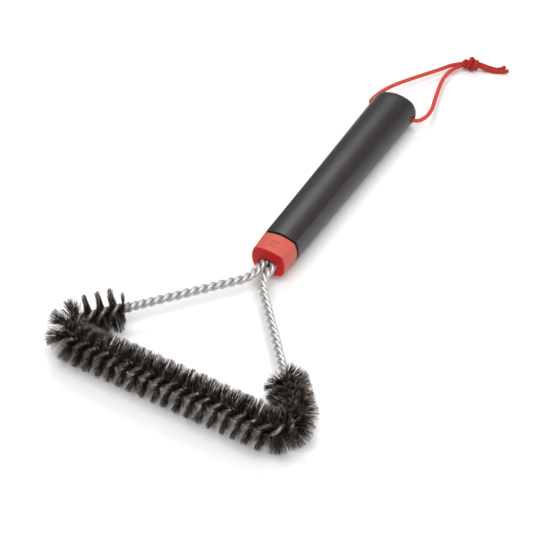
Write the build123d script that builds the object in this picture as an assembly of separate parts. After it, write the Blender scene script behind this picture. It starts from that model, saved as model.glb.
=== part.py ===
from build123d import *
import math
import os

# Three-sided wire grill brush: a flared moulded handle, a red collar on a black anchor plug,
# two steel wires twisted together into a planar triangle, bristle tufts trapped between them,
# and a knotted cord loop through a cross hole near the handle's far end.
#
# Frame: millimetres, +Z up. The brush lies on the surface z = 0. The handle runs along +Y,
# x = 0 is the plane of symmetry, and the origin is the bottom centre of the brush without its cord.

# ---------------------------------------------------------------- driving dimensions
OVERALL_LENGTH = 313.4          # far bristle tips to the end of the handle
BRISTLE_RADIUS = 14.3           # wire centre line to bristle tip
AXIS_Z = 14.2                   # height of the handle's axis at the gap ring
END_AXIS_Z = 12.3               # height of the handle's axis at its far end, which rests on z = 0
HANDLE_LENGTH = 166.7           # gap ring to the end of the dome
RING_WIDTH = 1.6                # visible black gap between handle and collar
COLLAR_LENGTH = 15.4
RING_INSET = 0.55               # the gap ring lies this far inside the outer skin

# outer section: half width, half height, and the crease where top and side arcs meet
SECTION_END = (16.4, 12.3, 11.8, 9.2)
SECTION_JOINT = (12.6, 10.7, 10.6, 8.3)
SECTION_FRONT = (11.8, 9.9, 9.6, 8.4)

DOME_RADIUS = 6.0               # rounding of the handle's end
RIM_RADIUS = 0.45               # moulded edges beside the gap ring
COLLAR_NOSE_RADIUS = 0.9
COLLAR_CREASE_RADIUS = 0.8      # rounding of the collar's four creases
RIB_COUNT = 3                   # short raised grip ribs across the top of the collar
RIB_LENGTH = 5.4
RIB_WIDTH = 1.1
RIB_HEIGHT = 0.35
RIB_SPACING = 2.2
SOCKET_WALL = 3.0               # handle wall around the anchor plug
SOCKET_DEPTH = 44.0
SOCKET_TAPER = 1.0              # extra wall at the bottom of the socket
PLUG_END_GAP = 1.0              # plug's end to the bottom of the socket
COLLAR_WALL = 2.7
COLLAR_FRONT_WALL = 1.8
SLOT_WIDTH = 13.4
SLOT_HEIGHT = 7.3
SLOT_Z = 12.25
PLUG_CLEARANCE = 0.10
CUT_MARGIN = 1.0                # cutting shapes reach this far past what they cut

HOLE_TO_END = 8.5               # cross hole axis to the end of the handle
HOLE_Z = 10.5                   # height of the cross hole's axis
HOLE_RADIUS = 3.3
HOLE_CHAMFER = 0.5

WIRE_RADIUS = 1.50
STEM_SPACING = 6.8              # between the two twisted stems inside the collar
STEM_Z = 11.9                   # height of the stems inside the collar
STEM_BORE_RADIUS = 3.15
STEM_INSERTED = 53.0            # length of each stem behind the collar's face
BORE_END_GAP = 2.0              # stem's end to the bottom of its bore
APEX_REACH = 10.8               # collar face to the point where the two arms would cross
HALF_BASE = 88.6                # symmetry plane to the sharp corner of the wire triangle
SHOULDER_RADIUS = 20.0          # bend where a stem turns outward
CORNER_RADIUS = 10.5            # bend between an arm and the base
ARM_TUFT_LENGTH = 27.0          # straight part of each arm that carries bristles

TUFT_COUNT = 30                 # half turns of the wires that hold bristles
TUFT_THICKNESS = 0.9
TUFT_GAP_ANGLE = 7.0            # degrees left free at each end of a tuft's half turn
TUFT_STEPS = 11
HALF_PITCH_ARM = 5.75           # half turn of the bare twist
HALF_PITCH_TIGHT = 4.2          # half turn just outside the bristles
TIGHT_RANGE = 15.0
SPLAY_ARM = 1.58                # wire centre to twist axis, bare
SPLAY_BRISTLE = 2.10            # wire centre to twist axis, round the bristles
SPLAY_RANGE = 4.0
FACING_GAP = 0.3                # bristles from both sides of a corner stop this far from its bisector
BEND_CENTRE_GAP = 0.5           # bristles inside a bend stop this far from its centre
STEPS_PER_HALF_TURN = 6
WALK_STEP = 0.05

CORD_DIAMETER = 3.0
CORD_HOLE_HALF = 9.5            # half length of the cord's straight stretch in the cross hole
CORD_ARC_SHARE = 0.45           # share of the shorter run that an arc of the cord takes up
KNOT_CENTRE = (22.2, 233.6, 5.0)
KNOT_HALF_LENGTH = 6.0
KNOT_RADIUS = 4.8
KNOT_YAW = 25.0

# ---------------------------------------------------------------- derived places
END_Y = OVERALL_LENGTH / 2
JOINT_Y = END_Y - HANDLE_LENGTH
RING_Y = JOINT_Y - RING_WIDTH
FRONT_Y = RING_Y - COLLAR_LENGTH
BASE_Y = -OVERALL_LENGTH / 2 + BRISTLE_RADIUS
APEX_Y = FRONT_Y - APEX_REACH
HOLE_Y = END_Y - HOLE_TO_END
STEM_X = STEM_SPACING / 2
POCKET_FRONT_Y = FRONT_Y + COLLAR_FRONT_WALL
SOCKET_END_Y = JOINT_Y + SOCKET_DEPTH

os.makedirs("parts", exist_ok=True)


def save(solid, name):
    """Writes one node."""
    solid.label = name
    export_step(solid, f"parts/{name}.step")


# ---------------------------------------------------------------- moulded parts
def axis_height(y):
    """Height of the common axis of collar and handle, which drops evenly to the far end."""
    return AXIS_Z + (END_AXIS_Z - AXIS_Z) * (y - JOINT_Y) / HANDLE_LENGTH


def across(y, z):
    """Plane across the brush at y: local x is +X, local y is +Z, its normal is -Y."""
    return Plane(origin=(0, y, z), x_dir=(1, 0, 0), z_dir=(0, -1, 0))


def blend(first, second, share):
    """Section part of the way from one section to another."""
    return tuple(a + (b - a) * share for a, b in zip(first, second))


def pillow(section, y, inset=0.0):
    """Rounded square face of four arcs that meet at the four creases."""
    half_width, half_height, crease_x, crease_z = (size - inset for size in section)
    outline = Curve() + [
        ThreePointArc((crease_x, -crease_z), (half_width, 0), (crease_x, crease_z)),
        ThreePointArc((crease_x, crease_z), (0, half_height), (-crease_x, crease_z)),
        ThreePointArc((-crease_x, crease_z), (-half_width, 0), (-crease_x, -crease_z)),
        ThreePointArc((-crease_x, -crease_z), (0, -half_height), (crease_x, -crease_z)),
    ]
    return across(y, axis_height(y)) * make_face(outline)


def handle_section(y):
    """Outer section of the handle at y, flaring evenly from the gap ring to the far end."""
    return blend(SECTION_JOINT, SECTION_END, (y - JOINT_Y) / HANDLE_LENGTH)


def collar_section(y):
    """Outer section of the collar at y."""
    return blend(SECTION_JOINT, SECTION_FRONT, (RING_Y - y) / COLLAR_LENGTH)


def edges_at(solid, y):
    """Edges of a solid that lie wholly in the plane across it at y."""
    return [e for e in solid.edges() if all(abs(e.position_at(t).Y - y) < 1e-4 for t in (0, 0.5, 1))]


def edges_along(solid):
    """Edges of a solid that run lengthwise: the creases where top and side arcs meet."""
    return [e for e in solid.edges() if abs(e.position_at(1).Y - e.position_at(0).Y) > 1]


def make_handle():
    """Flared grip with a domed end, a socket for the anchor plug and the cord's cross hole."""
    body = loft([pillow(SECTION_JOINT, JOINT_Y), pillow(SECTION_END, END_Y)], ruled=True)
    body = fillet(edges_at(body, END_Y), DOME_RADIUS)
    body = fillet(edges_at(body, JOINT_Y), RIM_RADIUS)
    socket = loft(
        [
            pillow(SECTION_JOINT, JOINT_Y, SOCKET_WALL),
            pillow(handle_section(SOCKET_END_Y), SOCKET_END_Y, SOCKET_WALL + SOCKET_TAPER),
        ],
        ruled=True,
    )
    body -= socket
    across_hole = Plane(origin=(0, HOLE_Y, HOLE_Z), x_dir=(0, 1, 0), z_dir=(1, 0, 0))
    body -= across_hole * Cylinder(HOLE_RADIUS, 2 * (SECTION_END[0] + CUT_MARGIN))
    mouth_x = handle_section(HOLE_Y)[0]
    for side in (-1, 1):
        mouth = Plane(origin=(side * mouth_x, HOLE_Y, HOLE_Z), x_dir=(0, 1, 0), z_dir=(side, 0, 0))
        body -= mouth * Cone(HOLE_RADIUS, HOLE_RADIUS + 2 * HOLE_CHAMFER, 2 * HOLE_CHAMFER)
    return body


def make_collar():
    """Red collar: a cap over the plug's front spigot with a wide slot for the two stems."""
    body = loft([pillow(SECTION_JOINT, RING_Y), pillow(SECTION_FRONT, FRONT_Y)], ruled=True)
    body = fillet(edges_along(body), COLLAR_CREASE_RADIUS)
    body = fillet(edges_at(body, FRONT_Y), COLLAR_NOSE_RADIUS)
    body = fillet(edges_at(body, RING_Y), RIM_RADIUS)
    pocket = loft(
        [
            pillow(SECTION_JOINT, RING_Y, COLLAR_WALL),
            pillow(collar_section(POCKET_FRONT_Y), POCKET_FRONT_Y, COLLAR_WALL),
        ],
        ruled=True,
    )
    body -= pocket
    slot = across(FRONT_Y - CUT_MARGIN, SLOT_Z) * SlotOverall(SLOT_WIDTH, SLOT_HEIGHT)
    body -= extrude(slot, -(COLLAR_FRONT_WALL + 2 * CUT_MARGIN))
    return body + collar_ribs()


def collar_ribs():
    """Short round-ended ribs that follow the curved top of the collar."""
    skin = loft(
        [
            pillow(SECTION_JOINT, RING_Y, -RIB_HEIGHT),
            pillow(SECTION_FRONT, FRONT_Y, -RIB_HEIGHT),
        ],
        ruled=True,
    )
    middle_y = (RING_Y + FRONT_Y) / 2
    ribs = []
    for index in range(RIB_COUNT):
        rib_y = middle_y + (index - (RIB_COUNT - 1) / 2) * RIB_SPACING
        below_skin = Plane(origin=(0, rib_y, AXIS_Z + SECTION_FRONT[1] - RIB_WIDTH))
        ribs.append(skin & extrude(below_skin * SlotOverall(RIB_LENGTH, RIB_WIDTH), 2 * RIB_WIDTH))
    return ribs


def make_plug():
    """Black plug that holds the wire ends: handle spigot, gap ring and collar spigot in one piece."""
    clear = PLUG_CLEARANCE
    ring_rear = pillow(SECTION_JOINT, JOINT_Y - clear / 2, RING_INSET)
    ring_front = pillow(SECTION_JOINT, RING_Y + clear / 2, RING_INSET)
    rear_end = SOCKET_END_Y - PLUG_END_GAP
    front_end = POCKET_FRONT_Y + clear
    rear = loft(
        [
            pillow(SECTION_JOINT, JOINT_Y - clear, SOCKET_WALL + clear),
            pillow(handle_section(SOCKET_END_Y), rear_end, SOCKET_WALL + SOCKET_TAPER + clear),
        ],
        ruled=True,
    )
    front = loft(
        [
            pillow(SECTION_JOINT, RING_Y + clear, COLLAR_WALL + clear),
            pillow(collar_section(POCKET_FRONT_Y), front_end, COLLAR_WALL + clear),
        ],
        ruled=True,
    )
    body = loft([ring_rear, ring_front], ruled=True) + rear + front
    bore_length = STEM_INSERTED - COLLAR_FRONT_WALL + BORE_END_GAP
    for side in (-1, 1):
        mouth = across(front_end - CUT_MARGIN, STEM_Z) * Pos(side * STEM_X, 0)
        body -= extrude(mouth * Circle(STEM_BORE_RADIUS), -(bore_length + CUT_MARGIN))
    return body


# ---------------------------------------------------------------- route of the twisted stem
def stem_height(y):
    """The triangle rises a little from the slot to the base, whose bristles stand on z = 0."""
    share = (FRONT_Y - y) / (FRONT_Y - BASE_Y)
    return STEM_Z + (BRISTLE_RADIUS - STEM_Z) * min(max(share, 0.0), 1.0)


def corner_arc(corner, before, after, radius):
    """Where the arc of a rounded plan-view corner starts, its turn, and its tangent's length."""
    to_before = math.atan2(before[1] - corner[1], before[0] - corner[0])
    to_after = math.atan2(after[1] - corner[1], after[0] - corner[0])
    between = (to_after - to_before + math.pi) % (2 * math.pi) - math.pi
    half = abs(between) / 2
    tangent = radius / math.tan(half)
    start = (corner[0] + tangent * math.cos(to_before), corner[1] + tangent * math.sin(to_before))
    turn = (math.pi - 2 * half) * (-1 if between > 0 else 1)
    return start, turn, tangent


def stem_route():
    """Plan-view route of the stem from its right end, round the triangle, to its left end.

    Each piece is (length, start x, start y, heading, curvature)."""
    slope = HALF_BASE / (APEX_Y - BASE_Y)
    shoulder_y = APEX_Y - STEM_X / slope
    stops = [
        ((STEM_X, FRONT_Y + STEM_INSERTED), 0.0),
        ((STEM_X, shoulder_y), SHOULDER_RADIUS),
        ((HALF_BASE, BASE_Y), CORNER_RADIUS),
        ((-HALF_BASE, BASE_Y), CORNER_RADIUS),
        ((-STEM_X, shoulder_y), SHOULDER_RADIUS),
        ((-STEM_X, FRONT_Y + STEM_INSERTED), 0.0),
    ]
    pieces = []
    here = stops[0][0]
    for index in range(1, len(stops)):
        target, radius = stops[index]
        heading = math.atan2(target[1] - here[1], target[0] - here[0])
        if radius == 0:
            pieces.append((math.dist(here, target), here[0], here[1], heading, 0.0))
            break
        start, turn, tangent = corner_arc(target, here, stops[index + 1][0], radius)
        pieces.append((math.dist(here, start), here[0], here[1], heading, 0.0))
        curvature = math.copysign(1 / radius, turn)
        pieces.append((abs(turn) * radius, start[0], start[1], heading, curvature))
        after = math.atan2(stops[index + 1][0][1] - target[1], stops[index + 1][0][0] - target[0])
        here = (target[0] + tangent * math.cos(after), target[1] + tangent * math.sin(after))
    return pieces


ROUTE = stem_route()
ROUTE_LENGTH = sum(piece[0] for piece in ROUTE)
CORNER_BEND_LENGTH = ROUTE[3][0]
BASE_STRAIGHT_LENGTH = ROUTE[4][0]
BRISTLE_HALF_LENGTH = BASE_STRAIGHT_LENGTH / 2 + CORNER_BEND_LENGTH + ARM_TUFT_LENGTH
BRISTLE_START = ROUTE_LENGTH / 2 - BRISTLE_HALF_LENGTH
BRISTLE_END = ROUTE_LENGTH / 2 + BRISTLE_HALF_LENGTH
HALF_PITCH_BRISTLE = 2 * BRISTLE_HALF_LENGTH / TUFT_COUNT


def frame_at(distance):
    """Point, tangent and left-hand side direction of the route at a distance along it."""
    left = distance
    for length, x, y, heading, curvature in ROUTE:
        if left <= length or (x, y) == (ROUTE[-1][1], ROUTE[-1][2]):
            break
        left -= length
    if curvature:
        end = heading + left * curvature
        x += (math.sin(end) - math.sin(heading)) / curvature
        y -= (math.cos(end) - math.cos(heading)) / curvature
        heading = end
    else:
        x += left * math.cos(heading)
        y += left * math.sin(heading)
    tangent = (math.cos(heading), math.sin(heading))
    return (x, y, stem_height(y)), tangent, (-tangent[1], tangent[0])


def outside_bristles(distance):
    """How far a place on the route lies outside the stretch with bristles."""
    return max(BRISTLE_START - distance, distance - BRISTLE_END, 0.0)


def half_pitch(distance):
    """Length of a half turn of the twist: longest round bristles, tightest just outside them."""
    away = outside_bristles(distance)
    if away == 0:
        return HALF_PITCH_BRISTLE
    return HALF_PITCH_ARM - (HALF_PITCH_ARM - HALF_PITCH_TIGHT) * math.exp(-((away / TIGHT_RANGE) ** 2))


def splay(distance):
    """Distance of each wire's centre from the twist axis."""
    share = math.exp(-((outside_bristles(distance) / SPLAY_RANGE) ** 2))
    return SPLAY_ARM + (SPLAY_BRISTLE - SPLAY_ARM) * share


def place_at(distance, angle, radius, away=0.0):
    """Point beside the route: angle 0 points to the route's left, 90 degrees straight up."""
    point, _, side = frame_at(distance)
    across_route = radius * math.cos(angle) - away * math.sin(angle)
    upward = radius * math.sin(angle) + away * math.cos(angle)
    return (
        point[0] + side[0] * across_route,
        point[1] + side[1] * across_route,
        point[2] + upward,
    )


def twist_stations():
    """Route distances at even steps of the twist angle, counted from the first tuft's start."""
    step_angle = math.pi / STEPS_PER_HALF_TURN
    stations = [(BRISTLE_START, 0.0)]
    for direction in (-1, 1):
        distance, angle, wanted = BRISTLE_START, 0.0, step_angle
        while 0 < distance < ROUTE_LENGTH:
            distance += direction * WALK_STEP
            angle += math.pi * WALK_STEP / half_pitch(distance)
            if angle >= wanted:
                stations.append((distance, direction * wanted))
                wanted += step_angle
    return sorted(pair for pair in stations if 0 < pair[0] < ROUTE_LENGTH)


# ---------------------------------------------------------------- wires
def make_wire(phase):
    """One of the two wires, a left-handed helix round the route from end to end."""
    points = [Vector(*place_at(d, phase - angle, splay(d))) for d, angle in twist_stations()]
    sections = []
    for index, point in enumerate(points):
        before = points[max(index - 1, 0)]
        after = points[min(index + 1, len(points) - 1)]
        section = Plane(origin=point, x_dir=(0, 0, 1), z_dir=after - before)
        sections.append((section * Circle(WIRE_RADIUS)).face().outer_wire())
    lengths = []
    for first in range(0, len(sections) - 1, STEPS_PER_HALF_TURN):
        lengths.append(Solid.make_loft(sections[first : first + STEPS_PER_HALF_TURN + 1], ruled=True))
    return lengths[0].fuse(*lengths[1:])


# ---------------------------------------------------------------- bristles
def bisector_reach(point, direction):
    """Length at which a bristle meets the one from across its corner, or None."""
    side = 1 if point[0] > 0 else -1
    base_angle = math.atan2(APEX_Y - BASE_Y, HALF_BASE) / 2
    normal = (-side * math.sin(base_angle), -math.cos(base_angle))
    offset = (point[0] - side * HALF_BASE) * normal[0] + (point[1] - BASE_Y) * normal[1]
    closing = direction[0] * normal[0] + direction[1] * normal[1]
    if offset * closing >= 0:
        return None
    return -offset / closing


def on_corner_bend(distance):
    """Whether a place on the route lies on one of the two corner bends."""
    from_end = min(distance - BRISTLE_START, BRISTLE_END - distance)
    return ARM_TUFT_LENGTH <= from_end <= ARM_TUFT_LENGTH + CORNER_BEND_LENGTH


def bristle_reach(distance, angle):
    """Length of the bristles at a place: shortened by the surface below and inside the corners."""
    point, _, side = frame_at(distance)
    direction = (side[0] * math.cos(angle), side[1] * math.cos(angle), math.sin(angle))
    reach = BRISTLE_RADIUS
    if direction[2] < 0:
        reach = min(reach, point[2] / -direction[2])
    crossing = bisector_reach(point, direction)
    if crossing is not None:
        reach = min(reach, crossing - FACING_GAP)
    inward = -math.cos(angle)
    if on_corner_bend(distance) and inward > 0:
        reach = min(reach, (CORNER_RADIUS - BEND_CENTRE_GAP) / inward)
    return reach


def make_tuft(index):
    """Bristles of one half turn, as a thin twisted fan that passes between the two wires."""
    margin = math.radians(TUFT_GAP_ANGLE)
    sections = []
    for step in range(TUFT_STEPS + 1):
        turned = margin + (math.pi - 2 * margin) * step / TUFT_STEPS
        distance = BRISTLE_START + (index + turned / math.pi) * HALF_PITCH_BRISTLE
        angle = math.pi / 2 - (index * math.pi + turned)
        ahead = bristle_reach(distance, angle)
        behind = bristle_reach(distance, angle + math.pi)
        half = TUFT_THICKNESS / 2
        corners = [(ahead, half), (-behind, half), (-behind, -half), (ahead, -half)]
        wire = Wire.make_polygon([place_at(distance, angle, r, w) for r, w in corners])
        sections.append(wire)
    return Solid.make_loft(sections, ruled=True)


# ---------------------------------------------------------------- hanging cord
LEFT_ROUTE = [
    (-CORD_HOLE_HALF, HOLE_Y, HOLE_Z),
    (-19.5, 147.8, 10.7),
    (-18.9, 162.0, 10.3),
    (-14.8, 177.1, 9.1),
    (-8.9, 190.0, 7.7),
    (-2.4, 202.4, 6.6),
    (4.9, 215.6, 5.5),
    (11.1, 227.8, 4.8),
    (17.6, 232.2, 5.0),
]
RIGHT_ROUTE = [
    (CORD_HOLE_HALF, HOLE_Y, HOLE_Z),
    (18.2, 147.0, 10.6),
    (22.3, 156.0, 9.7),
    (21.6, 168.4, 8.8),
    (18.3, 179.5, 7.9),
    (15.4, 190.9, 6.9),
    (12.7, 202.4, 6.0),
    (11.5, 214.4, 5.1),
    (13.7, 225.6, 4.5),
    (18.0, 230.6, 4.8),
]
UPPER_TAIL_ROUTE = [
    (27.5, 236.9, 4.8),
    (33.9, 241.5, 2.4),
    (42.1, 242.0, 1.9),
    (44.5, 244.0, 4.4),
]
LOWER_TAIL_ROUTE = [
    (28.5, 234.2, 3.8),
    (35.2, 235.2, 1.7),
    (42.1, 238.6, 1.6),
    (48.5, 242.8, 1.8),
]


def cord_tube(points, name):
    """Round tube along straight runs joined by arcs as large as the runs allow."""
    corners = [Vector(*p) for p in points]
    radii = []
    for before, corner, after in zip(corners, corners[1:], corners[2:]):
        turn = math.radians((corner - before).get_angle(after - corner))
        shorter = min((corner - before).length, (after - corner).length)
        radii.append(CORD_ARC_SHARE * shorter / math.tan(turn / 2))
    path = FilletPolyline(*points, radius=radii)
    print(name, "length %.1f radii" % path.length, [round(r, 1) for r in radii])
    start = Plane(origin=path @ 0, z_dir=path % 0)
    tube = sweep(start * Circle(CORD_DIAMETER / 2), path=path)
    expected = math.pi * CORD_DIAMETER**2 / 4 * path.length
    print(name, "volume / expected %.4f" % (tube.volume / expected))
    return tube


def make_middle_cord():
    """Straight stretch of the cord inside the cross hole."""
    start = Plane(origin=(-CORD_HOLE_HALF, HOLE_Y, HOLE_Z), x_dir=(0, 1, 0), z_dir=(1, 0, 0))
    return extrude(start * Circle(CORD_DIAMETER / 2), 2 * CORD_HOLE_HALF)


def make_knot():
    """Outer shape of the overhand knot: a short barrel with rounded ends."""
    outline = Ellipse(KNOT_HALF_LENGTH, KNOT_RADIUS)
    profile = split(outline, bisect_by=Plane.XZ, keep=Keep.TOP)
    barrel = revolve(profile, axis=Axis.X)
    return Pos(*KNOT_CENTRE) * Rot(0, 0, KNOT_YAW) * barrel


# ---------------------------------------------------------------- build every node
save(make_handle(), "handle_grip")
save(make_plug(), "stem_anchor_plug")
save(make_collar(), "collar")
save(make_wire(0.0), "stem_wire_a")
save(make_wire(math.pi), "stem_wire_b")
for number in range(TUFT_COUNT):
    save(make_tuft(number), f"bristle_tuft_{number + 1:02d}")
save(make_middle_cord(), "hang_cord_middle")
save(cord_tube(LEFT_ROUTE, "hang_cord_left"), "hang_cord_left")
save(cord_tube(RIGHT_ROUTE, "hang_cord_right"), "hang_cord_right")
save(make_knot(), "hang_knot")
save(cord_tube(UPPER_TAIL_ROUTE, "hang_tail_upper"), "hang_tail_upper")
save(cord_tube(LOWER_TAIL_ROUTE, "hang_tail_lower"), "hang_tail_lower")
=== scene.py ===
import bpy
import math
import random
from mathutils import Matrix, Vector


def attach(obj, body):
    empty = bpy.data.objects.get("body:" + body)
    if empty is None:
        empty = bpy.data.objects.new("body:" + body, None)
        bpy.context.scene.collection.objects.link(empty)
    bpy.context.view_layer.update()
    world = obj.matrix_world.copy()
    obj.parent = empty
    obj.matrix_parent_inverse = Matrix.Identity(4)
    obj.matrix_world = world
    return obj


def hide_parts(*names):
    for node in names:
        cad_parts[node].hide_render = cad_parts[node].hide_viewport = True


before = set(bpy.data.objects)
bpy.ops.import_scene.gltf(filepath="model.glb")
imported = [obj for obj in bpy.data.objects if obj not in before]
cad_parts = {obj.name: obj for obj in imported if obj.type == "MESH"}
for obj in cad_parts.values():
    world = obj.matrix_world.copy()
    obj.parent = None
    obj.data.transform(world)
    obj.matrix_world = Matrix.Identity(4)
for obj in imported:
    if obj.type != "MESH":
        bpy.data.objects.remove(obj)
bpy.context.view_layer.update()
random.seed(7)

MM = 0.001
scene = bpy.context.scene
scene.view_settings.view_transform = "Standard"

# ------------------------------------------------------------------ dimensions shared with the CAD, in mm
OVERALL_LENGTH = 313.4
BRISTLE_RADIUS = 14.3
HANDLE_LENGTH = 166.7
RING_WIDTH = 1.6
COLLAR_LENGTH = 15.4
HOLE_TO_END = 8.5
HOLE_Z = 10.5
WIRE_RADIUS = 1.50
STEM_SPACING = 6.8
STEM_Z = 11.9
STEM_INSERTED = 53.0
APEX_REACH = 10.8
HALF_BASE = 88.6
SHOULDER_RADIUS = 20.0
CORNER_RADIUS = 10.5
ARM_TUFT_LENGTH = 27.0
TUFT_COUNT = 30
HALF_PITCH_ARM = 5.75
HALF_PITCH_TIGHT = 4.2
TIGHT_RANGE = 15.0
SPLAY_ARM = 1.58
SPLAY_BRISTLE = 2.10
SPLAY_RANGE = 4.0
WALK_STEP = 0.05
CORD_DIAMETER = 3.0
HOLE_STRETCH = 9.5              # the cord is straight in the cross hole as far as this from x = 0
HOLE_MOUTH = 16.9               # where the cross hole opens in the handle's side
KNOT_CENTRE = (22.2, 233.6, 5.0)
KNOT_YAW = 25.0

END_Y = OVERALL_LENGTH / 2
JOINT_Y = END_Y - HANDLE_LENGTH
FRONT_Y = JOINT_Y - RING_WIDTH - COLLAR_LENGTH
BASE_Y = -OVERALL_LENGTH / 2 + BRISTLE_RADIUS
APEX_Y = FRONT_Y - APEX_REACH
HOLE_Y = END_Y - HOLE_TO_END
STEM_X = STEM_SPACING / 2

# points that the cord's splines follow: the stretch in the cross hole, the two legs and the two tails
HOLE_ROUTE = [
    (-HOLE_STRETCH, HOLE_Y, HOLE_Z),
    (-3.0, HOLE_Y, HOLE_Z),
    (3.0, HOLE_Y, HOLE_Z),
    (HOLE_STRETCH, HOLE_Y, HOLE_Z),
]
LEFT_ROUTE = [
    (-HOLE_STRETCH, HOLE_Y, HOLE_Z),
    (-19.5, 147.8, 10.7),
    (-18.9, 162.0, 10.3),
    (-14.8, 177.1, 9.1),
    (-8.9, 190.0, 7.7),
    (-2.4, 202.4, 6.6),
    (4.9, 215.6, 5.5),
    (11.1, 227.8, 4.8),
    (17.6, 232.2, 5.0),
]
RIGHT_ROUTE = [
    (HOLE_STRETCH, HOLE_Y, HOLE_Z),
    (18.2, 147.0, 10.6),
    (22.3, 156.0, 9.7),
    (21.6, 168.4, 8.8),
    (18.3, 179.5, 7.9),
    (15.4, 190.9, 6.9),
    (12.7, 202.4, 6.0),
    (11.5, 214.4, 5.1),
    (13.7, 225.6, 4.5),
    (18.0, 230.6, 4.8),
]
UPPER_TAIL_ROUTE = [
    (27.4, 237.5, 4.9),
    (34.2, 240.3, 1.9),
    (42.1, 241.9, 1.7),
    (45.0, 244.2, 4.6),
]
LOWER_TAIL_ROUTE = [
    (28.6, 234.9, 4.7),
    (34.9, 237.4, 2.3),
    (42.0, 239.3, 1.6),
    (48.4, 242.8, 3.0),
]


# ------------------------------------------------------------------ materials
def new_material(name):
    """Principled material with its nodes, ready for links."""
    material = bpy.data.materials.new(name)
    material.use_nodes = True
    tree = material.node_tree
    shader = tree.nodes["Principled BSDF"]
    return material, tree, shader


def add(tree, kind, **values):
    """New node; each value goes to the input of that name, or else to the node's own property."""
    node = tree.nodes.new(kind)
    for key, value in values.items():
        if key in node.inputs:
            node.inputs[key].default_value = value
        else:
            setattr(node, key, value)
    return node


def object_coords(tree):
    return add(tree, "ShaderNodeTexCoord").outputs["Object"]


def ramp(tree, source, stops):
    """Colour ramp through (position, colour) stops."""
    node = add(tree, "ShaderNodeValToRGB")
    node.color_ramp.elements[0].position = stops[0][0]
    node.color_ramp.elements[0].color = (*stops[0][1], 1)
    node.color_ramp.elements[1].position = stops[-1][0]
    node.color_ramp.elements[1].color = (*stops[-1][1], 1)
    for position, colour in stops[1:-1]:
        element = node.color_ramp.elements.new(position)
        element.color = (*colour, 1)
    tree.links.new(source, node.inputs["Fac"])
    return node.outputs["Color"]


def noise(tree, coords, scale, detail=2.0, rough=0.5):
    node = add(tree, "ShaderNodeTexNoise", Scale=scale, Detail=detail, Roughness=rough)
    tree.links.new(coords, node.inputs["Vector"])
    return node.outputs["Fac"]


def remap(tree, source, low, high, source_low=0.0, source_high=1.0):
    """Source values from source_low to source_high, spread evenly from low to high."""
    node = add(tree, "ShaderNodeMapRange")
    node.inputs["From Min"].default_value = source_low
    node.inputs["From Max"].default_value = source_high
    node.inputs["To Min"].default_value = low
    node.inputs["To Max"].default_value = high
    tree.links.new(source, node.inputs["Value"])
    return node.outputs["Result"]


def nearness(tree, coords, axes, centre, inner, outer):
    """1 closer than inner to the centre and 0 beyond outer, in mm, measured along the given axes only."""
    flat = add(tree, "ShaderNodeVectorMath", operation="MULTIPLY")
    flat.inputs[1].default_value = axes
    tree.links.new(coords, flat.inputs[0])
    gap = add(tree, "ShaderNodeVectorMath", operation="DISTANCE")
    gap.inputs[1].default_value = [axis * value * MM for axis, value in zip(axes, centre)]
    tree.links.new(flat.outputs["Vector"], gap.inputs[0])
    return remap(tree, gap.outputs["Value"], 1.0, 0.0, inner * MM, outer * MM)


def blend(tree, share, first, second):
    """Colour that goes from the first source to the second as share goes from 0 to 1."""
    mix = add(tree, "ShaderNodeMix", data_type="RGBA")
    tree.links.new(share, mix.inputs["Factor"])
    for socket, colour in ((mix.inputs[6], first), (mix.inputs[7], second)):
        if isinstance(colour, tuple):
            socket.default_value = (*colour, 1)
        else:
            tree.links.new(colour, socket)
    return mix.outputs[2]


def attribute(tree, name):
    return add(tree, "ShaderNodeAttribute", attribute_name=name).outputs["Fac"]


def bump(tree, shader, height, distance, strength):
    node = add(tree, "ShaderNodeBump", Distance=distance, Strength=strength)
    tree.links.new(height, node.inputs["Height"])
    tree.links.new(node.outputs["Normal"], shader.inputs["Normal"])
    return node


def plastic(name, dark, light, rough, grain, grain_depth, level, shade_patch=None, creases=None):
    """Moulded plastic with slow colour drift and fine grain; the patch of painted shade is recoloured,
    creases are softened.
    """
    material, tree, shader = new_material(name)
    coords = object_coords(tree)
    drift = noise(tree, coords, 60.0, 12.0, 0.75)
    colour = ramp(tree, drift, [(0.3, dark), (0.7, light)])
    # painted shade: the patch's place is blended to its own darker colour
    if shade_patch:
        inside = nearness(tree, coords, shade_patch["axes"], shade_patch["centre"], shade_patch["inner"], shade_patch["outer"])
        colour = blend(tree, inside, colour, shade_patch["colour"])
    tree.links.new(colour, shader.inputs["Base Color"])
    patches = noise(tree, coords, 450.0, 8.0, 0.75)
    tree.links.new(remap(tree, patches, *rough), shader.inputs["Roughness"])
    relief = bump(tree, shader, noise(tree, coords, grain, 1.0), grain_depth, 0.5)
    if creases:
        split = add(tree, "ShaderNodeSeparateXYZ")
        tree.links.new(coords, split.inputs["Vector"])
        radii = (creases["near_radius"] * MM, creases["far_radius"] * MM)
        softness = remap(tree, split.outputs["Y"], *radii, creases["near_y"] * MM, creases["far_y"] * MM)
        rounded = add(tree, "ShaderNodeBevel", samples=8)
        tree.links.new(softness, rounded.inputs["Radius"])
        tree.links.new(rounded.outputs["Normal"], relief.inputs["Normal"])
    shader.inputs["Specular IOR Level"].default_value = level
    return material


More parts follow.
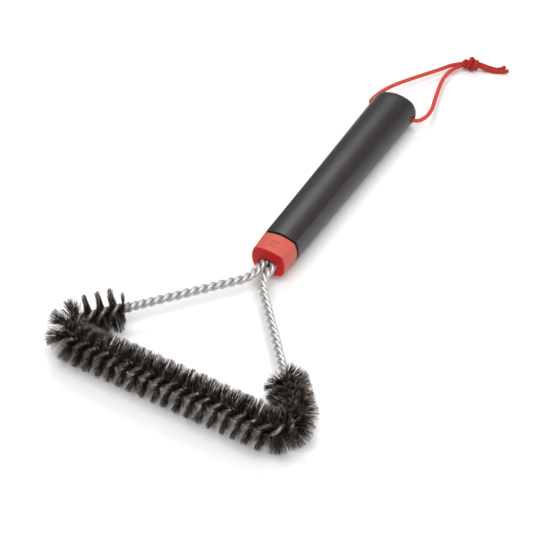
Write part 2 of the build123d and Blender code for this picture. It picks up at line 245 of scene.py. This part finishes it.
def wire_steel():
    """Drawn zinc-coated wire, slightly mottled, with painted shade, a darker colour, where the bristles are
    clamped round it.
    """
    material, tree, shader = new_material("galvanised_wire")
    coords = object_coords(tree)
    mottled = noise(tree, coords, 900.0, 4.0, 0.6)
    bare = ramp(tree, mottled, [(0.25, (0.48, 0.48, 0.465)), (0.75, (0.66, 0.66, 0.64))])
    # painted shade: the darker colour of the wire among the bristles
    painted_shade = ramp(tree, mottled, [(0.3, (0.16, 0.145, 0.13)), (0.7, (0.36, 0.335, 0.31))])
    tree.links.new(blend(tree, attribute(tree, "bristle_shade"), bare, painted_shade), shader.inputs["Base Color"])
    shader.inputs["Metallic"].default_value = 0.6
    tree.links.new(remap(tree, noise(tree, coords, 2400.0, 2.0), 0.28, 0.46), shader.inputs["Roughness"])
    bump(tree, shader, noise(tree, coords, 5200.0, 2.0), 0.00004, 0.4)
    return material


def bristle_steel():
    """Dark filaments, each a little different, paler at the tips: partly the bare cut metal, partly a
    painted glint.
    """
    material, tree, shader = new_material("dark_filament")
    tone = attribute(tree, "tone")
    body = ramp(tree, tone, [
        (0.0, (0.008, 0.0045, 0.0028)),
        (0.7, (0.029, 0.018, 0.012)),
        (1.0, (0.19, 0.140, 0.108)),
    ])
    # paler tips: partly the bare cut metal, partly a painted glint
    cut_and_glint = ramp(tree, tone, [
        (0.0, (0.030, 0.022, 0.017)),
        (0.6, (0.10, 0.078, 0.062)),
        (1.0, (0.50, 0.42, 0.36)),
    ])
    tree.links.new(blend(tree, attribute(tree, "tip"), body, cut_and_glint), shader.inputs["Base Color"])
    shader.inputs["Metallic"].default_value = 0.55
    tree.links.new(remap(tree, tone, 0.5, 0.36), shader.inputs["Roughness"])
    return material


def cord_fibre():
    """Braided cord: fine yarn lines, and painted shade, a darker colour, in the valleys between the
    strands.
    """
    material, tree, shader = new_material("cord_fibre")
    coords = object_coords(tree)
    # the tone carries painted shade: dark in the valleys, and darker on the knot, the tails and the stretch
    # in the hole
    colour = ramp(tree, attribute(tree, "tone"), [
        (0.05, (0.10, 0.002, 0.002)),
        (0.5, (0.57, 0.015, 0.010)),
        (0.85, (0.98, 0.190, 0.132)),
    ])
    tree.links.new(colour, shader.inputs["Base Color"])
    tree.links.new(remap(tree, noise(tree, coords, 3000.0, 3.0), 0.55, 0.8), shader.inputs["Roughness"])
    bump(tree, shader, noise(tree, coords, 9000.0, 2.0), 0.00006, 0.6)
    shader.inputs["Specular IOR Level"].default_value = 0.3
    shader.inputs["Sheen Weight"].default_value = 0.06
    shader.inputs["Sheen Roughness"].default_value = 0.4
    return material


# painted shade, recoloured places: full colour within the inner distance of a centre, none beyond the outer
# one, in mm
# painted shade: the inside of the cross hole is coloured near black
CROSS_HOLE_SHADE = {
    "axes": (0.0, 1.0, 1.0),
    "centre": (0.0, HOLE_Y, HOLE_Z),
    "inner": 4.1,
    "outer": 4.4,
    "colour": (0.001, 0.001, 0.001),
}
# painted shade: the collar's front face, which faces away from the lights, is coloured a deeper red
COLLAR_FRONT_SHADE = {
    "axes": (0.0, 1.0, 0.0),
    "centre": (0.0, FRONT_Y, 0.0),
    "inner": 0.2,
    "outer": 0.9,
    "colour": (0.53, 0.001, 0.003),
}
# radius that the handle's creases seem to have near the collar and near the free end, in mm
HANDLE_CREASES = {"near_y": 40.0, "near_radius": 0.6, "far_y": 135.0, "far_radius": 4.0}

GRIP = plastic(
    "grip_plastic", dark=(0.0205, 0.0166, 0.0188), light=(0.0275, 0.0222, 0.0252), rough=(0.31, 0.47),
    grain=1800.0, grain_depth=0.00010, level=0.44, shade_patch=CROSS_HOLE_SHADE, creases=HANDLE_CREASES,
)
RED = plastic(
    "collar_plastic", dark=(0.53, 0.092, 0.067), light=(0.57, 0.102, 0.075), rough=(0.46, 0.56),
    grain=4200.0, grain_depth=0.00003, level=0.3, shade_patch=COLLAR_FRONT_SHADE,
)
# painted shade: the plug is coloured near black for the shade in the groove between handle and collar
PLUG_SHADE_BLACK = plastic(
    "plug_shade_plastic", dark=(0.0015, 0.0015, 0.0015), light=(0.003, 0.003, 0.003), rough=(0.6, 0.7),
    grain=5000.0, grain_depth=0.00003, level=0.15,
)
WIRE = wire_steel()
BRISTLE = bristle_steel()
CORD = cord_fibre()


# ------------------------------------------------------------------ mesh helpers
def piece(name, points, faces, material, body, nodes=(), attributes=None):
    """Mesh piece from points in metres, smooth shaded, riding on its body."""
    mesh = bpy.data.meshes.new(name)
    mesh.from_pydata(points, [], faces)
    mesh.polygons.foreach_set("use_smooth", [True] * len(mesh.polygons))
    for key, values in (attributes or {}).items():
        layer = mesh.attributes.new(key, "FLOAT", "POINT")
        layer.data.foreach_set("value", values)
    mesh.materials.append(material)
    mesh.update()
    obj = bpy.data.objects.new(name, mesh)
    scene.collection.objects.link(obj)
    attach(obj, body)
    if nodes:
        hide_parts(*nodes)
    return obj


def transport(points):
    """Tangents and twist-free sideways directions along a line of points."""
    tangents = []
    for index in range(len(points)):
        before = points[max(index - 1, 0)]
        after = points[min(index + 1, len(points) - 1)]
        tangents.append((after - before).normalized())
    seed = Vector((0, 0, 1)) if abs(tangents[0].z) < 0.9 else Vector((1, 0, 0))
    side = tangents[0].cross(seed).normalized()
    sides = [side]
    for before, after in zip(tangents, tangents[1:]):
        side = before.rotation_difference(after) @ side
        side = (side - after * side.dot(after)).normalized()
        sides.append(side)
    return tangents, sides


def swept(points, sides_count, height):
    """Closed tube along points; height(ring, share round) gives the radius."""
    tangents, sides = transport(points)
    verts = []
    faces = []
    for ring, (point, tangent, side) in enumerate(zip(points, tangents, sides)):
        up = tangent.cross(side)
        for step in range(sides_count):
            turn = 2 * math.pi * step / sides_count
            outward = side * math.cos(turn) + up * math.sin(turn)
            verts.append(point + outward * height(ring, step / sides_count))
    for ring in range(len(points) - 1):
        low = ring * sides_count
        for step in range(sides_count):
            right = (step + 1) % sides_count
            faces.append((low + step, low + right, low + right + sides_count, low + step + sides_count))
    faces.append(tuple(reversed(range(sides_count))))
    faces.append(tuple(range((len(points) - 1) * sides_count, len(points) * sides_count)))
    return verts, faces


# ------------------------------------------------------------------ route of the twisted stem, in mm
def corner_arc(corner, before, after, radius):
    """Start, turn and tangent length of a rounded plan-view corner."""
    to_before = math.atan2(before[1] - corner[1], before[0] - corner[0])
    to_after = math.atan2(after[1] - corner[1], after[0] - corner[0])
    between = (to_after - to_before + math.pi) % (2 * math.pi) - math.pi
    half = abs(between) / 2
    tangent = radius / math.tan(half)
    start = (corner[0] + tangent * math.cos(to_before), corner[1] + tangent * math.sin(to_before))
    return start, (math.pi - 2 * half) * (-1 if between > 0 else 1), tangent


def stem_route():
    """Plan-view pieces (length, x, y, heading, curvature) from the stem's right end to its left end.

    In order: right end, shoulder, right arm, corner, base, corner, left arm, shoulder, left end.
    """
    shoulder_y = APEX_Y - STEM_X * (APEX_Y - BASE_Y) / HALF_BASE
    stops = [
        ((STEM_X, FRONT_Y + STEM_INSERTED), 0.0),
        ((STEM_X, shoulder_y), SHOULDER_RADIUS),
        ((HALF_BASE, BASE_Y), CORNER_RADIUS),
        ((-HALF_BASE, BASE_Y), CORNER_RADIUS),
        ((-STEM_X, shoulder_y), SHOULDER_RADIUS),
        ((-STEM_X, FRONT_Y + STEM_INSERTED), 0.0),
    ]
    pieces = []
    here = stops[0][0]
    for index in range(1, len(stops)):
        target, radius = stops[index]
        heading = math.atan2(target[1] - here[1], target[0] - here[0])
        if radius == 0:
            pieces.append((math.dist(here, target), here[0], here[1], heading, 0.0))
            break
        following = stops[index + 1][0]
        start, turn, tangent = corner_arc(target, here, following, radius)
        pieces.append((math.dist(here, start), here[0], here[1], heading, 0.0))
        pieces.append((abs(turn) * radius, start[0], start[1], heading, math.copysign(1 / radius, turn)))
        after = math.atan2(following[1] - target[1], following[0] - target[0])
        here = (target[0] + tangent * math.cos(after), target[1] + tangent * math.sin(after))
    return pieces


ROUTE = stem_route()
ROUTE_LENGTH = sum(entry[0] for entry in ROUTE)
CORNER_LENGTH = ROUTE[3][0]
BASE_LENGTH = ROUTE[4][0]
BRISTLE_HALF_LENGTH = BASE_LENGTH / 2 + CORNER_LENGTH + ARM_TUFT_LENGTH
BRISTLE_START = ROUTE_LENGTH / 2 - BRISTLE_HALF_LENGTH
BRISTLE_END = ROUTE_LENGTH / 2 + BRISTLE_HALF_LENGTH
HALF_PITCH_BRISTLE = 2 * BRISTLE_HALF_LENGTH / TUFT_COUNT


def frame_at(distance):
    """Point, tangent and left-hand side direction of the route at a distance along it."""
    left = distance
    for index, (length, x, y, heading, curvature) in enumerate(ROUTE):
        if left <= length or index == len(ROUTE) - 1:
            break
        left -= length
    if curvature:
        end = heading + left * curvature
        x += (math.sin(end) - math.sin(heading)) / curvature
        y -= (math.cos(end) - math.cos(heading)) / curvature
        heading = end
    else:
        x += left * math.cos(heading)
        y += left * math.sin(heading)
    share = min(max((FRONT_Y - y) / (FRONT_Y - BASE_Y), 0.0), 1.0)
    z = STEM_Z + (BRISTLE_RADIUS - STEM_Z) * share
    tangent = Vector((math.cos(heading), math.sin(heading), 0))
    return Vector((x, y, z)), tangent, Vector((-tangent.y, tangent.x, 0))


def outside_bristles(distance):
    """How far a place on the route is from the bristles, 0 among them."""
    return max(BRISTLE_START - distance, distance - BRISTLE_END, 0.0)


def half_pitch(distance):
    """Length of a half turn of the twist: even among the bristles, tight just outside them."""
    away = outside_bristles(distance)
    if away == 0:
        return HALF_PITCH_BRISTLE
    return HALF_PITCH_ARM - (HALF_PITCH_ARM - HALF_PITCH_TIGHT) * math.exp(-((away / TIGHT_RANGE) ** 2))


def splay(distance):
    """Distance from the route to each wire's centre line, larger among the bristles."""
    share = math.exp(-((outside_bristles(distance) / SPLAY_RANGE) ** 2))
    return SPLAY_ARM + (SPLAY_BRISTLE - SPLAY_ARM) * share


def twist_stations(step_angle):
    """Route distances at even steps of the twist angle, counted from the first tuft's start."""
    stations = [(BRISTLE_START, 0.0)]
    for direction in (-1, 1):
        distance, angle, wanted = BRISTLE_START, 0.0, step_angle
        while 0 < distance < ROUTE_LENGTH:
            distance += direction * WALK_STEP
            angle += math.pi * WALK_STEP / half_pitch(distance)
            if angle >= wanted:
                stations.append((distance, direction * wanted))
                wanted += step_angle
    return sorted(pair for pair in stations if 0 < pair[0] < ROUTE_LENGTH)


def spoke(side, angle):
    """Direction square to the route: angle 0 is the route's left, 90 degrees straight up."""
    return side * math.cos(angle) + Vector((0, 0, math.sin(angle)))


# ------------------------------------------------------------------ wires
WIRE_SIDES = 14
WIRE_STEPS = 14                 # rings in each half turn of the twist
SHADE_RANGE = 3.0               # the painted shade fades over this length outside the bristles


def make_wires():
    stations = twist_stations(math.pi / WIRE_STEPS)
    for letter, phase in (("a", 0.0), ("b", math.pi)):
        line = []
        bristle_shade = []
        for distance, angle in stations:
            point, _, side = frame_at(distance)
            line.append((point + spoke(side, phase - angle) * splay(distance)) * MM)
            # painted shade on the wire among the bristles, fading outside them
            bristle_shade += [math.exp(-((outside_bristles(distance) / SHADE_RANGE) ** 2))] * WIRE_SIDES
        verts, faces = swept(line, WIRE_SIDES, lambda ring, share: WIRE_RADIUS * MM)
        nodes = [f"stem_wire_{letter}"]
        piece(f"twisted_wire_{letter}", verts, faces, WIRE, "brush", nodes, {"bristle_shade": bristle_shade})


# ------------------------------------------------------------------ bristles
FILAMENT_RADIUS = 0.165
FILAMENTS = 270                 # in each half turn; each one sticks out both ways
FILAMENT_SIDES = 3
TAPER = 0.5                     # share of its thickness that a filament loses by its tip
FILAMENT_STEPS = 4
CLUMPS = 22                     # in each half turn
CLUMP_TURN = 0.05               # spread of the clumps round the twist
CLUMP_SHARE = 0.5               # share of the lean that a whole clump has in common
LEAN_LEFT_ARM = 0.05            # spread of the filaments along the twist
LEAN_RIGHT_ARM = 0.17
LEAN_BEND = 0.30
LEAN_BASE = 0.105
TURN_JITTER = 0.05              # spread of the single filaments round the twist
SHORTFALL = 0.06                # how much shorter than the longest the filaments are
CURL_ROUND = 0.5                # how far the tips stray round the twist and along it
CURL_ALONG = 0.45
TRAPPED_HALF_WIDTH = 0.45       # the filaments sit side by side over this width between the wires
BUNCHING = 0.7                  # how much the left arm's filaments gather near upright


def filament(verts, faces, line, stem_direction, radius):
    """Adds one thin tapering rod along a line of points in millimetres."""
    base = len(verts)
    along = (line[-1] - line[0]).normalized()
    first = along.cross(stem_direction).normalized()
    second = along.cross(first)
    last = len(line) - 1
    for step, spot in enumerate(line):
        size = radius * (1.0 - TAPER * step / last)
        for corner in range(FILAMENT_SIDES):
            turn = 2 * math.pi * corner / FILAMENT_SIDES
            verts.append((spot + (first * math.cos(turn) + second * math.sin(turn)) * size) * MM)
    for step in range(last):
        low = base + step * FILAMENT_SIDES
        for corner in range(FILAMENT_SIDES):
            right = (corner + 1) % FILAMENT_SIDES
            high_right = low + right + FILAMENT_SIDES
            faces.append((low + corner, low + right, high_right, low + corner + FILAMENT_SIDES))
    faces.append(tuple(base + corner for corner in reversed(range(FILAMENT_SIDES))))
    faces.append(tuple(base + last * FILAMENT_SIDES + corner for corner in range(FILAMENT_SIDES)))


def make_tuft(index):
    """Filaments of one half turn of the twist, each trapped in the middle and sticking out both ways."""
    verts = []
    faces = []
    tones = []
    tips = []
    on_left_arm = (index + 1) * HALF_PITCH_BRISTLE > 2 * BRISTLE_HALF_LENGTH - ARM_TUFT_LENGTH
    clumps = [(random.gauss(0, CLUMP_TURN), random.gauss(0, CLUMP_SHARE)) for _ in range(CLUMPS + 1)]
    for number in range(FILAMENTS):
        share = (number + random.random()) / FILAMENTS
        bunched = share - (BUNCHING * math.sin(2 * math.pi * share) / (2 * math.pi) if on_left_arm else 0.0)
        distance = BRISTLE_START + (index + bunched) * HALF_PITCH_BRISTLE
        angle = math.pi / 2 - (index + bunched) * math.pi
        point, tangent, side = frame_at(distance)
        from_end = min(distance - BRISTLE_START, BRISTLE_END - distance) - ARM_TUFT_LENGTH
        spread = LEAN_BEND if from_end < CORNER_LENGTH else LEAN_BASE
        if from_end < 0:
            spread = LEAN_LEFT_ARM if on_left_arm else LEAN_RIGHT_ARM
        for way in (0, 1):
            clump = clumps[int(share * CLUMPS) + way]
            turned = angle + way * math.pi + clump[0] + random.gauss(0, TURN_JITTER)
            lean = (clump[1] + random.gauss(0, 1.0 - CLUMP_SHARE)) * spread
            out = spoke(side, turned)
            round_about = spoke(side, turned + math.pi / 2)
            direction = (out + tangent * lean).normalized()
            reach = BRISTLE_RADIUS * (1.0 - abs(random.gauss(0, SHORTFALL)))
            curl = round_about * random.gauss(0, CURL_ROUND) + tangent * random.gauss(0, CURL_ALONG)
            start = point + round_about * random.uniform(-TRAPPED_HALF_WIDTH, TRAPPED_HALF_WIDTH)
            line = []
            for step in range(FILAMENT_STEPS + 1):
                along = step / FILAMENT_STEPS
                spot = start + direction * reach * along + curl * along * along
                spot.z = max(spot.z, FILAMENT_RADIUS)
                line.append(spot)
            filament(verts, faces, line, tangent, FILAMENT_RADIUS)
            tone = random.random()
            for step in range(FILAMENT_STEPS + 1):
                tones += [tone] * FILAMENT_SIDES
                tips += [float(step == FILAMENT_STEPS)] * FILAMENT_SIDES
    label = f"{index + 1:02d}"
    nodes = [f"bristle_tuft_{label}"]
    attributes = {"tone": tones, "tip": tips}
    piece(f"filaments_{label}", verts, faces, BRISTLE, "brush", nodes, attributes)


# ------------------------------------------------------------------ cord
SPLINE_RESOLUTION = 40


def spline_points(name, route):
    """Even points along the route's NURBS spline, in metres."""
    curve = bpy.data.curves.new(name, "CURVE")
    curve.dimensions = "3D"
    curve.resolution_u = SPLINE_RESOLUTION
    spline = curve.splines.new("NURBS")
    spline.points.add(len(route) - 1)
    for control, place in zip(spline.points, route):
        control.co = (place[0] * MM, place[1] * MM, place[2] * MM, 1.0)
    spline.order_u = 3
    spline.use_endpoint_u = True
    holder = bpy.data.objects.new(name, curve)
    scene.collection.objects.link(holder)
    bpy.context.view_layer.update()
    mesh = bpy.data.meshes.new_from_object(holder)
    line = [vertex.co.copy() for vertex in mesh.vertices]
    bpy.data.objects.remove(holder)
    return line


def even(line, step):
    """The same line with points a fixed step apart, and its length."""
    lengths = [0.0]
    for before, after in zip(line, line[1:]):
        lengths.append(lengths[-1] + (after - before).length)
    count = max(2, round(lengths[-1] / step))
    out = []
    place = 0
    for index in range(count + 1):
        wanted = lengths[-1] * index / count
        while place < len(lengths) - 2 and lengths[place + 1] < wanted:
            place += 1
        span = lengths[place + 1] - lengths[place]
        out.append(line[place].lerp(line[place + 1], (wanted - lengths[place]) / span if span else 0.0))
    return out, lengths[-1]


STRANDS = 6                     # strands that run each way round the cord
BRAID_ROUND = 48                # points round the cord
BRAID_STEP = 0.2
BRAID_DEPTH = 0.27              # depth of the valleys between the strands
STRAND_FLATNESS = 0.8
STRAND_LOW = 0.15               # share of its height that a strand keeps where it dives under another
END_SIZE = 0.72                 # share of the full radius at the very end of a piece
END_GROWTH = 0.14               # share of it that each ring from there adds
KNOT_SHADE = 0.67               # painted shade: the knot is coloured the darkest part of the cord
# painted shade on the tails and on the stretch in the hole
TAIL_SHADE = 0.70
LEG_SHADES = (1.0, TAIL_SHADE)  # painted shade: a leg is at full colour until it darkens where it is pulled into the knot
KNOT_SHADES = (KNOT_SHADE, KNOT_SHADE)
TAIL_SHADES = (TAIL_SHADE, TAIL_SHADE)
FADE_SHARE = 0.2                # share of a piece over which it goes from its first shade to its last


def cord_line(name, route):
    """Points a braid step apart along the route's spline, in metres, and the length."""
    return even(spline_points(name, route), BRAID_STEP * MM)


def shade_at(share, shades):
    """Painted shade of the cord at a share of its length: the first one, then a fade to the last one at its
    end.
    """
    first, last = shades
    return first - (first - last) * max(0.0, share - (1.0 - FADE_SHARE)) / FADE_SHARE


def braid(name, points, nodes, shades, swell=1.0):
    """Braided tube along a line of points, in two families of crossing strands."""
    radius = swell * CORD_DIAMETER / 2
    lead = BRAID_STEP / (2 * math.pi * (radius - BRAID_DEPTH)) * STRANDS
    tones = []

    def crown(ring, share):
        """Height of the braid's surface: 0 in a valley, 1 on the back of a strand."""
        right = share * STRANDS + ring * lead
        left = share * STRANDS - ring * lead
        over = (math.floor(right) + math.floor(left)) % 2 == 0
        across, along = (right % 1, left % 1) if over else (left % 1, right % 1)
        round_off = max(0.0, 1 - (2 * across - 1) ** 2)
        return round_off ** STRAND_FLATNESS * (STRAND_LOW + (1 - STRAND_LOW) * math.sin(math.pi * along))

    last = len(points) - 1

    def height(ring, share):
        value = crown(ring, share)
        # painted shade: the colour darkens in the valleys and with the piece's shade
        tones.append(value * shade_at(ring / last, shades))
        closed = min(1.0, END_SIZE + END_GROWTH * min(ring, last - ring))
        return (radius - BRAID_DEPTH * (1 - value)) * closed * MM

    verts, faces = swept(points, BRAID_ROUND, height)
    return piece(name, verts, faces, CORD, "hanging_loop", nodes, {"tone": tones})


KNOT_SWELL = 1.07               # the cord bulges a little where it bends hard in the knot
# a strand's way into the knot and out of it: place along the knot, distance from its axis, degrees round it
KNOT_ENTRY = [(-6.4, 1.5, 0), (-4.4, 1.4, 0), (-1.5, 1.2, 10), (1.8, 1.3, 20), (4.3, 2.7, 75)]
KNOT_EXIT = [(-5.4, 2.4, 530), (-3.4, 1.4, 610), (0.4, 1.0, 690), (3.8, 1.3, 720), (6.4, 1.5, 720)]
WRAP_STEPS = 8
WRAP_FIRST = 120                # degrees round the knot at which the wraps start
WRAP_TURN = 345                 # degrees that each strand goes round the knot
WRAP_TOP = 450                  # degrees at which a wrap passes over the top
WRAP_RADIUS = 3.1
WRAP_START = 3.4                # place along the knot where the wraps start
WRAP_LENGTH = 8.6               # length of knot that they cover
WRAP_PEAK = 1.2                 # how much the middle wrap stands up on top
WRAP_PEAK_RANGE = 2.4
WRAP_SHOULDER = 1.0             # how much lower the knot is at the legs' end than in the middle
WRAP_RISE = 0.6                 # share of that by which it is higher at the tails' end
SHOULDER_START = 1.0            # distance from the middle to where it starts to fall, towards the legs
SHOULDER_RANGE = 3.0            # length over which it falls


def knot_line(phase):
    """Route of one strand of the doubled overhand knot: through it, back round its outside, and out."""
    wraps = []
    for step in range(WRAP_STEPS + 1):
        share = step / WRAP_STEPS
        angle = WRAP_FIRST + WRAP_TURN * share
        along = WRAP_START - WRAP_LENGTH * share
        upward = max(0.0, math.cos(math.radians(angle - WRAP_TOP) + phase))
        crest = upward * math.exp(-((along / WRAP_PEAK_RANGE) ** 2))
        shoulder = WRAP_SHOULDER * min(1.0, max(-WRAP_RISE, (-along - SHOULDER_START) / SHOULDER_RANGE))
        wraps.append((along, WRAP_RADIUS + WRAP_PEAK * crest - shoulder, angle))
    turn = Matrix.Rotation(math.radians(KNOT_YAW), 3, "Z")
    route = []
    for along, radius, degrees in KNOT_ENTRY + wraps + KNOT_EXIT:
        angle = math.radians(degrees) + phase
        local = Vector((along, radius * math.cos(angle), radius * math.sin(angle)))
        route.append(turn @ local + Vector(KNOT_CENTRE))
    return route


def make_cord():
    """The stretch in the hole, the knot's two strands and the tails, then the legs that carry them."""
    # the shades are painted shade; the stretch in the hole takes the tails' shade
    for name, route, nodes, shades, swell in (
        ("cord_in_hole", HOLE_ROUTE, ["hang_cord_middle"], TAIL_SHADES, 1.0),
        ("knot_strand_a", knot_line(0.0), ["hang_knot"], KNOT_SHADES, KNOT_SWELL),
        ("knot_strand_b", knot_line(math.pi), [], KNOT_SHADES, KNOT_SWELL),
        ("cord_tail_upper", UPPER_TAIL_ROUTE, ["hang_tail_upper"], TAIL_SHADES, 1.0),
        ("cord_tail_lower", LOWER_TAIL_ROUTE, ["hang_tail_lower"], TAIL_SHADES, 1.0),
    ):
        points, _ = cord_line(f"{name}_line", route)
        braid(name, points, nodes, shades, swell)
    for side, route, exit_x, extra_names in (
        ("left", LEFT_ROUTE, -HOLE_MOUTH, ("cord_in_hole", "knot_strand_a", "cord_tail_upper")),
        ("right", RIGHT_ROUTE, HOLE_MOUTH, ("knot_strand_b", "cord_tail_lower")),
    ):
        points, length = cord_line(f"{side}_line", route)
        leg = braid(f"cord_leg_{side}", points, [f"hang_cord_{side}"], LEG_SHADES)


# ------------------------------------------------------------------ build
def repaint(node, material):
    """Gives a CAD node that is shown as it is its material."""
    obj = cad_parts[node]
    obj.data.materials.clear()
    obj.data.materials.append(material)


repaint("handle_grip", GRIP)
repaint("collar", RED)
repaint("stem_anchor_plug", PLUG_SHADE_BLACK)
make_cord()
make_wires()
for tuft in range(TUFT_COUNT):
    make_tuft(tuft)


# ------------------------------------------------------------------ floor, light and camera
FLOOR_HALF = 6.0                # metres from the middle of the floor to its edges
WORLD_GLOW = 0.24
LIGHTS = (                      # name, place, disk size, power; all of them point at the origin
    ("key", (-0.68, 1.05, 1.53), 0.8, 13.0),
    ("overhead", (0.3, -0.6, 1.88), 2.2, 40.0),
    ("side", (1.6, 0.8, 0.8), 1.4, 7.5),
)
CAMERA_PLACE = (0.329794, -0.605398, 0.677372)
CAMERA_RIGHT = (0.86807, 0.49643, 0.00338)
CAMERA_UP = (-0.35418, 0.61453, 0.70492)
CAMERA_BACK = (0.34787, -0.61312, 0.70928)
CAMERA_LENS = 100.0


def make_floor():
    mesh = bpy.data.meshes.new("floor")
    corners = [(x * FLOOR_HALF, y * FLOOR_HALF, 0) for x, y in ((-1, -1), (1, -1), (1, 1), (-1, 1))]
    mesh.from_pydata(corners, [], [(0, 1, 2, 3)])
    material, _, shader = new_material("floor_paper")
    shader.inputs["Base Color"].default_value = (0.95, 0.95, 0.95, 1)
    shader.inputs["Roughness"].default_value = 0.6
    shader.inputs["Specular IOR Level"].default_value = 0.25
    mesh.materials.append(material)
    floor = bpy.data.objects.new("floor", mesh)
    scene.collection.objects.link(floor)


def area_light(name, place, size, power):
    """Round soft light at a place, pointing at the origin."""
    light = bpy.data.lights.new(name, "AREA")
    light.shape = "DISK"
    light.size = size
    light.energy = power
    holder = bpy.data.objects.new(name, light)
    scene.collection.objects.link(holder)
    holder.location = place
    holder.rotation_euler = (-Vector(place)).to_track_quat("-Z", "Y").to_euler()


def make_camera():
    """Long lens, 45 degrees above the surface and 30 degrees to the right of the brush's own line."""
    camera = bpy.data.cameras.new("camera")
    camera.sensor_width = 36.0
    camera.lens = CAMERA_LENS
    camera.clip_start = 0.05
    camera.clip_end = 30.0
    holder = bpy.data.objects.new("camera", camera)
    scene.collection.objects.link(holder)
    matrix = Matrix((CAMERA_RIGHT, CAMERA_UP, CAMERA_BACK)).transposed().to_4x4()
    matrix.translation = CAMERA_PLACE
    holder.matrix_world = matrix
    scene.camera = holder


def make_world():
    world = bpy.data.worlds.new("studio")
    world.use_nodes = True
    background = world.node_tree.nodes["Background"]
    background.inputs["Color"].default_value = (1, 1, 1, 1)
    background.inputs["Strength"].default_value = WORLD_GLOW
    scene.world = world


make_floor()
make_world()
for light in LIGHTS:
    area_light(*light)
make_camera()
